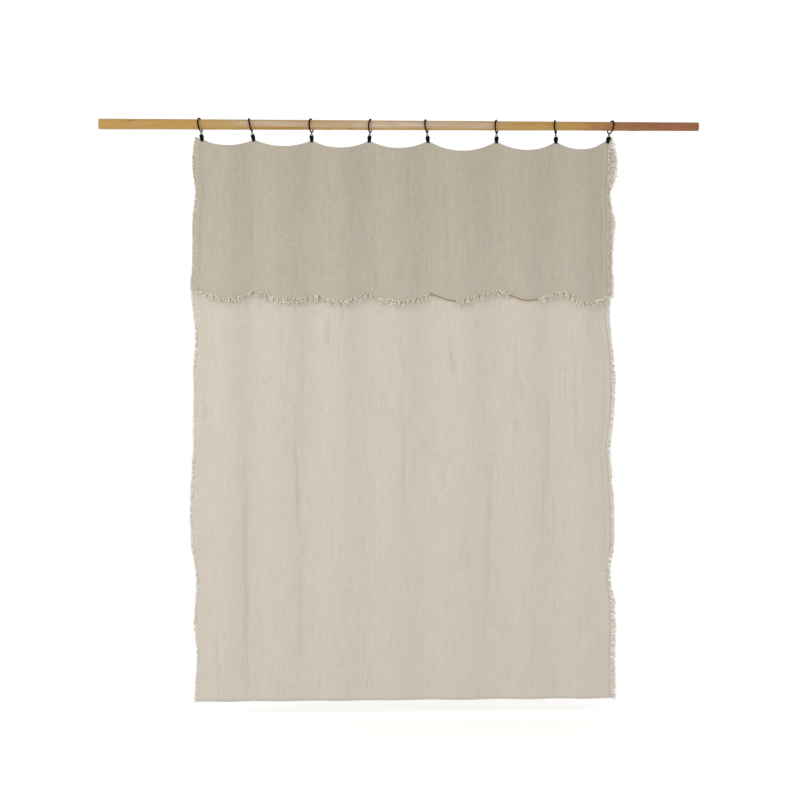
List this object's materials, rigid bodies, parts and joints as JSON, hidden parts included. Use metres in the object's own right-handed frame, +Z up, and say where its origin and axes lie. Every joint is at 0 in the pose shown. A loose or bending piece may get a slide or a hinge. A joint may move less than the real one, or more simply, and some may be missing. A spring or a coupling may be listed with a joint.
{
  "type": "clip-ring curtain panel on a pole",
  "caption": "Washed linen curtain panel with a folded-over top flap and frayed edges, hung by sliding clip rings from a tapered natural wood pole.",
  "frame": {"origin": "middle of the pole's length, on the axis of its mid section, where the brackets hold the pole up", "axes": "+X along the pole towards its thin end, +Z up, and the front of the curtain faces -Y"},
  "size_m": [1.938, 0.0466, 1.8777],
  "materials": {
    "natural_wood": "smoothed, unvarnished",
    "black_steel": "satin black",
    "brass_link": "dull, aged",
    "spring_wire": "plain drawn wire",
    "washed_linen": "matte, slubby plain weave",
    "linen_fringe": "loose frayed threads"
  },
  "bodies": {
    "pole": {"pole": "natural_wood"},
    "link_1": {"link_1": "brass_link"},
    "ring_1": {"ring_1": "black_steel"},
    "clip_1": {"rear_jaw_1": "black_steel", "pin_1": "black_steel", "spring_1": "spring_wire"},
    "jaw_1": {"front_jaw_1": "black_steel"},
    "link_2": {"link_2": "brass_link"},
    "ring_2": {"ring_2": "black_steel"},
    "clip_2": {"rear_jaw_2": "black_steel", "pin_2": "black_steel", "spring_2": "spring_wire"},
    "jaw_2": {"front_jaw_2": "black_steel"},
    "link_3": {"link_3": "brass_link"},
    "ring_3": {"ring_3": "black_steel"},
    "clip_3": {"rear_jaw_3": "black_steel", "pin_3": "black_steel", "spring_3": "spring_wire"},
    "jaw_3": {"front_jaw_3": "black_steel"},
    "link_4": {"link_4": "brass_link"},
    "ring_4": {"ring_4": "black_steel"},
    "clip_4": {"rear_jaw_4": "black_steel", "pin_4": "black_steel", "spring_4": "spring_wire"},
    "jaw_4": {"front_jaw_4": "black_steel"},
    "link_5": {"link_5": "brass_link"},
    "ring_5": {"ring_5": "black_steel"},
    "clip_5": {"rear_jaw_5": "black_steel", "pin_5": "black_steel", "spring_5": "spring_wire"},
    "jaw_5": {"front_jaw_5": "black_steel"},
    "link_6": {"link_6": "brass_link"},
    "ring_6": {"ring_6": "black_steel"},
    "clip_6": {"rear_jaw_6": "black_steel", "pin_6": "black_steel", "spring_6": "spring_wire"},
    "jaw_6": {"front_jaw_6": "black_steel"},
    "link_7": {"link_7": "brass_link"},
    "ring_7": {"ring_7": "black_steel"},
    "clip_7": {"rear_jaw_7": "black_steel", "pin_7": "black_steel", "spring_7": "spring_wire"},
    "jaw_7": {"front_jaw_7": "black_steel"},
    "link_8": {"link_8": "brass_link"},
    "ring_8": {"ring_8": "black_steel"},
    "clip_8": {"rear_jaw_8": "black_steel", "pin_8": "black_steel", "spring_8": "spring_wire"},
    "jaw_8": {"front_jaw_8": "black_steel"},
    "panel": {"panel_cloth": "washed_linen", "side_fringe_left": "linen_fringe", "side_fringe_right": "linen_fringe", "flap_side_fringe_left": "linen_fringe", "flap_side_fringe_right": "linen_fringe", "flap_fringe": "linen_fringe"}
  },
  "joints": [
    {"name": "panel_shift", "type": "slide", "parent": "pole", "child": "link_1", "axis": [1, 0, 0], "range_m": [-0.25, 0.22]},
    {"name": "draw", "type": "slide", "parent": "link_1", "child": "link_8", "axis": [1, 0, 0], "range_m": [-0.857, 0], "deforming": ["panel_cloth", "side_fringe_left", "side_fringe_right", "flap_side_fringe_left", "flap_side_fringe_right", "flap_fringe"]},
    {"name": "ring_slide_2", "type": "slide", "parent": "link_1", "child": "link_2", "axis": [1, 0, 0], "range_m": [-0.10843, 0]},
    {"name": "ring_slide_3", "type": "slide", "parent": "link_1", "child": "link_3", "axis": [1, 0, 0], "range_m": [-0.22993, 0]},
    {"name": "ring_slide_4", "type": "slide", "parent": "link_1", "child": "link_4", "axis": [1, 0, 0], "range_m": [-0.35077, 0]},
    {"name": "ring_slide_5", "type": "slide", "parent": "link_1", "child": "link_5", "axis": [1, 0, 0], "range_m": [-0.47553, 0]},
    {"name": "ring_slide_6", "type": "slide", "parent": "link_1", "child": "link_6", "axis": [1, 0, 0], "range_m": [-0.62054, 0]},
    {"name": "ring_slide_7", "type": "slide", "parent": "link_1", "child": "link_7", "axis": [1, 0, 0], "range_m": [-0.74726, 0]},
    {"name": "panel_swing", "type": "hinge", "parent": "link_1", "child": "panel", "pos_m": [-0.64259, 0, -0.03502], "axis": [1, 0, 0], "range_deg": [-8, 8]},
    {"name": "clip_swing_1", "type": "hinge", "parent": "link_1", "child": "clip_1", "pos_m": [-0.64259, 0, -0.03502], "axis": [1, 0, 0], "range_deg": [-8, 8]},
    {"name": "ring_turn_1", "type": "hinge", "parent": "link_1", "child": "ring_1", "pos_m": [-0.64348, 0, -0.02773], "axis": [-0.1219, 0, 0.9925], "range_deg": [-2, 24]},
    {"name": "clip_open_1", "type": "hinge", "parent": "clip_1", "child": "jaw_1", "pos_m": [-0.6414, 0, -0.0447], "axis": [-0.9925, 0, -0.1219], "range_deg": [0, 16], "stiffness_Nm_per_rad": 0.05, "springref_deg": -34.38},
    {"name": "clip_swing_2", "type": "hinge", "parent": "link_2", "child": "clip_2", "pos_m": [-0.47842, 0, -0.0344], "axis": [1, 0, 0], "range_deg": [-8, 8]},
    {"name": "ring_turn_2", "type": "hinge", "parent": "link_2", "child": "ring_2", "pos_m": [-0.47995, 0, -0.02721], "axis": [-0.2079, 0, 0.9781], "range_deg": [-9, 15]},
    {"name": "clip_open_2", "type": "hinge", "parent": "clip_2", "child": "jaw_2", "pos_m": [-0.47639, 0, -0.04394], "axis": [-0.9781, 0, -0.2079], "range_deg": [0, 16], "stiffness_Nm_per_rad": 0.05, "springref_deg": -34.38},
    {"name": "clip_swing_3", "type": "hinge", "parent": "link_3", "child": "clip_3", "pos_m": [-0.28874, 0, -0.03554], "axis": [1, 0, 0], "range_deg": [-8, 8]},
    {"name": "ring_turn_3", "type": "hinge", "parent": "link_3", "child": "ring_3", "pos_m": [-0.289, 0, -0.02819], "axis": [-0.0349, 0, 0.9994], "range_deg": [-2, 27]},
    {"name": "clip_open_3", "type": "hinge", "parent": "clip_3", "child": "jaw_3", "pos_m": [-0.2884, 0, -0.04528], "axis": [-0.9994, 0, -0.0349], "range_deg": [0, 16], "stiffness_Nm_per_rad": 0.05, "springref_deg": -34.38},
    {"name": "clip_swing_4", "type": "hinge", "parent": "link_4", "child": "clip_4", "pos_m": [-0.10152, 0, -0.03543], "axis": [1, 0, 0], "range_deg": [-8, 8]},
    {"name": "ring_turn_4", "type": "hinge", "parent": "link_4", "child": "ring_4", "pos_m": [-0.101, 0, -0.0281], "axis": [0.0698, 0, 0.9976], "range_deg": [-5, 24]},
    {"name": "clip_open_4", "type": "hinge", "parent": "clip_4", "child": "jaw_4", "pos_m": [-0.1022, 0, -0.04516], "axis": [-0.9976, 0, 0.0698], "range_deg": [0, 16], "stiffness_Nm_per_rad": 0.05, "springref_deg": -34.38},
    {"name": "clip_swing_5", "type": "hinge", "parent": "link_5", "child": "clip_5", "pos_m": [0.08578, 0, -0.03523], "axis": [1, 0, 0], "range_deg": [-8, 8]},
    {"name": "ring_turn_5", "type": "hinge", "parent": "link_5", "child": "ring_5", "pos_m": [0.08501, 0, -0.02792], "axis": [-0.1045, 0, 0.9945], "range_deg": [-4, 25]},
    {"name": "clip_open_5", "type": "hinge", "parent": "clip_5", "child": "jaw_5", "pos_m": [0.0868, 0, -0.04492], "axis": [-0.9945, 0, -0.1045], "range_deg": [0, 16], "stiffness_Nm_per_rad": 0.05, "springref_deg": -34.38},
    {"name": "clip_swing_6", "type": "hinge", "parent": "link_6", "child": "clip_6", "pos_m": [0.31, 0, -0.0356], "axis": [1, 0, 0], "range_deg": [-8, 8]},
    {"name": "ring_turn_6", "type": "hinge", "parent": "link_6", "child": "ring_6", "pos_m": [0.31, 0, -0.02825], "axis": [0, 0, 1], "range_deg": [-2, 27]},
    {"name": "clip_open_6", "type": "hinge", "parent": "clip_6", "child": "jaw_6", "pos_m": [0.31, 0, -0.04535], "axis": [-1, 0, 0], "range_deg": [0, 16], "stiffness_Nm_per_rad": 0.05, "springref_deg": -34.38},
    {"name": "clip_swing_7", "type": "hinge", "parent": "link_7", "child": "clip_7", "pos_m": [0.50326, 0, -0.03556], "axis": [1, 0, 0], "range_deg": [-8, 8]},
    {"name": "ring_turn_7", "type": "hinge", "parent": "link_7", "child": "ring_7", "pos_m": [0.503, 0, -0.02821], "axis": [-0.0349, 0, 0.9994], "range_deg": [-3, 26]},
    {"name": "clip_open_7", "type": "hinge", "parent": "clip_7", "child": "jaw_7", "pos_m": [0.5036, 0, -0.0453], "axis": [-0.9994, 0, -0.0349], "range_deg": [0, 16], "stiffness_Nm_per_rad": 0.05, "springref_deg": -34.38},
    {"name": "clip_swing_8", "type": "hinge", "parent": "link_8", "child": "clip_8", "pos_m": [0.67642, 0, -0.03423], "axis": [1, 0, 0], "range_deg": [-8, 8]},
    {"name": "ring_turn_8", "type": "hinge", "parent": "link_8", "child": "ring_8", "pos_m": [0.67795, 0, -0.02704], "axis": [0.2079, 0, 0.9781], "range_deg": [-26, 3]},
    {"name": "clip_open_8", "type": "hinge", "parent": "clip_8", "child": "jaw_8", "pos_m": [0.67439, 0, -0.04377], "axis": [-0.9781, 0, 0.2079], "range_deg": [0, 16], "stiffness_Nm_per_rad": 0.05, "springref_deg": -34.38}
  ],
  "couplings": [
    {"joint": "ring_slide_2", "follows": "draw", "ratio": 0.12652},
    {"joint": "ring_slide_3", "follows": "draw", "ratio": 0.26829},
    {"joint": "ring_slide_4", "follows": "draw", "ratio": 0.4093},
    {"joint": "ring_slide_5", "follows": "draw", "ratio": 0.55488},
    {"joint": "ring_slide_6", "follows": "draw", "ratio": 0.72408},
    {"joint": "ring_slide_7", "follows": "draw", "ratio": 0.87195},
    {"joint": "clip_swing_1", "follows": "panel_swing", "ratio": 1},
    {"joint": "clip_swing_2", "follows": "panel_swing", "ratio": 1},
    {"joint": "clip_swing_3", "follows": "panel_swing", "ratio": 1},
    {"joint": "clip_swing_4", "follows": "panel_swing", "ratio": 1},
    {"joint": "clip_swing_5", "follows": "panel_swing", "ratio": 1},
    {"joint": "clip_swing_6", "follows": "panel_swing", "ratio": 1},
    {"joint": "clip_swing_7", "follows": "panel_swing", "ratio": 1},
    {"joint": "clip_swing_8", "follows": "panel_swing", "ratio": 1}
  ]
}
